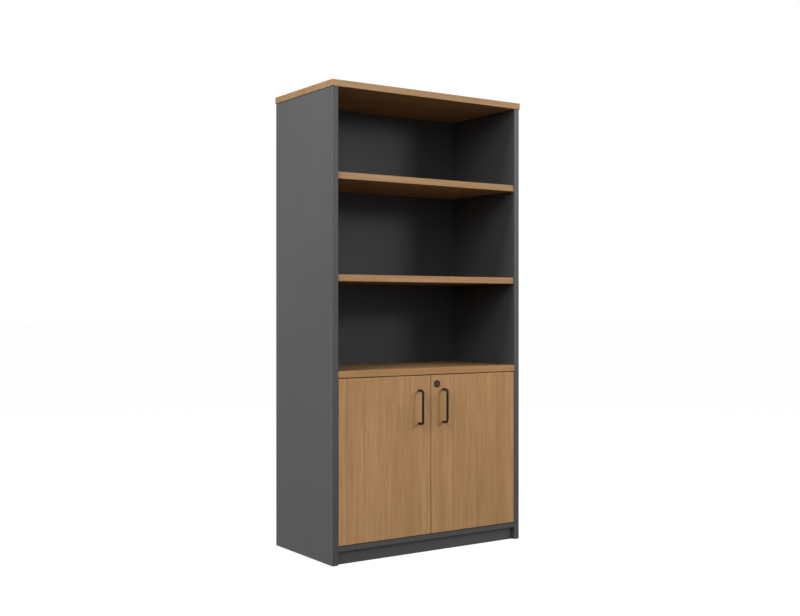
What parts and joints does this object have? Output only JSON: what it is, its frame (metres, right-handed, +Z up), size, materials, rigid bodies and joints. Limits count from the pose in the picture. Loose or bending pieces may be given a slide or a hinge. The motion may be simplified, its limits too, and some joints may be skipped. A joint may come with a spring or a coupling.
{
  "type": "bookcase with cabinet doors",
  "caption": "Tall office bookcase with open shelves above a lockable two-door cabinet, charcoal carcass with oak top, shelves and doors, and black bow handles.",
  "frame": {"origin": "on the floor, at the middle of the overall envelope from the handle fronts to the back of the top", "axes": "+Z up, front towards -Y, +X to the right as seen from the front"},
  "size_m": [0.9, 0.481, 1.8],
  "materials": {
    "charcoal_board": "fine-textured melamine faced board, matt charcoal",
    "oak_board": "melamine faced board with a straight oak grain, satin",
    "black_metal": "satin black powder coat",
    "lock_steel": "machined, dark burnished nickel",
    "plated_steel": "bright nickel plate",
    "screw_steel": "zinc plated"
  },
  "bodies": {
    "carcass": {"left_side_panel": "charcoal_board", "right_side_panel": "charcoal_board", "back_panel": "charcoal_board", "base_panel": "charcoal_board", "kickboard": "charcoal_board", "rear_rail": "charcoal_board", "top_panel": "oak_board", "fixed_shelf": "oak_board", "upper_shelf": "oak_board", "middle_shelf": "oak_board", "cabinet_shelf": "oak_board", "lock_keeper": "black_metal", "left_hinge_arms": "plated_steel", "right_hinge_arms": "plated_steel", "left_hinge_plates": "plated_steel", "right_hinge_plates": "plated_steel", "left_hinge_pins": "plated_steel", "right_hinge_pins": "plated_steel", "cabinet_shelf_pins": "plated_steel", "middle_shelf_pins": "plated_steel", "upper_shelf_pins": "plated_steel", "left_hinge_plate_screws": "screw_steel", "right_hinge_plate_screws": "screw_steel", "left_hinge_arm_screws": "screw_steel", "right_hinge_arm_screws": "screw_steel", "lock_keeper_screws": "screw_steel"},
    "left_door": {"left_door": "oak_board", "left_handle": "black_metal", "left_handle_screws": "screw_steel", "left_hinge_cups": "plated_steel", "left_hinge_cup_screws": "screw_steel", "door_bolt_bracket": "plated_steel"},
    "right_door": {"right_door": "oak_board", "right_handle": "black_metal", "right_handle_screws": "screw_steel", "right_hinge_cups": "plated_steel", "right_hinge_cup_screws": "screw_steel", "lock_barrel": "black_metal", "lock_nut": "black_metal"},
    "left_short_links": {"left_hinge_short_links": "plated_steel"},
    "left_long_links": {"left_hinge_long_links": "plated_steel"},
    "right_short_links": {"right_hinge_short_links": "plated_steel"},
    "right_long_links": {"right_hinge_long_links": "plated_steel"},
    "lock_plug": {"lock_plug": "lock_steel", "lock_cam": "lock_steel", "lock_cam_screw": "screw_steel"},
    "door_bolt": {"door_bolt_rod": "plated_steel"}
  },
  "joints": [
    {"name": "left_door_swing", "type": "hinge", "parent": "carcass", "child": "left_door", "pos_m": [-0.40825, -0.20075, 0.381], "axis": [0, 0, -1], "range_deg": [0, 95]},
    {"name": "right_door_swing", "type": "hinge", "parent": "carcass", "child": "right_door", "pos_m": [0.40825, -0.20075, 0.381], "axis": [0, 0, 1], "range_deg": [0, 95]},
    {"name": "left_short_link_turn", "type": "hinge", "parent": "carcass", "child": "left_short_links", "pos_m": [-0.3864, -0.1933, 0.381], "axis": [0, 0, -1], "range_deg": [-48, 0]},
    {"name": "left_long_link_turn", "type": "hinge", "parent": "carcass", "child": "left_long_links", "pos_m": [-0.3885, -0.1745, 0.381], "axis": [0, 0, -1], "range_deg": [-24, 0]},
    {"name": "right_short_link_turn", "type": "hinge", "parent": "carcass", "child": "right_short_links", "pos_m": [0.3864, -0.1933, 0.381], "axis": [0, 0, 1], "range_deg": [-48, 0]},
    {"name": "right_long_link_turn", "type": "hinge", "parent": "carcass", "child": "right_long_links", "pos_m": [0.3885, -0.1745, 0.381], "axis": [0, 0, 1], "range_deg": [-24, 0]},
    {"name": "lock_turn", "type": "hinge", "parent": "right_door", "child": "lock_plug", "pos_m": [0.0281, -0.2065, 0.6569], "axis": [0, -1, 0], "range_deg": [0, 90]},
    {"name": "door_bolt_slide", "type": "slide", "parent": "left_door", "child": "door_bolt", "axis": [0, 0, 1], "range_m": [0, 0.014]}
  ],
  "couplings": [
    {"joint": "left_short_link_turn", "follows": "left_door_swing", "ratio": -0.5},
    {"joint": "left_long_link_turn", "follows": "left_door_swing", "ratio": -0.25},
    {"joint": "right_short_link_turn", "follows": "right_door_swing", "ratio": -0.5},
    {"joint": "right_long_link_turn", "follows": "right_door_swing", "ratio": -0.25}
  ]
}
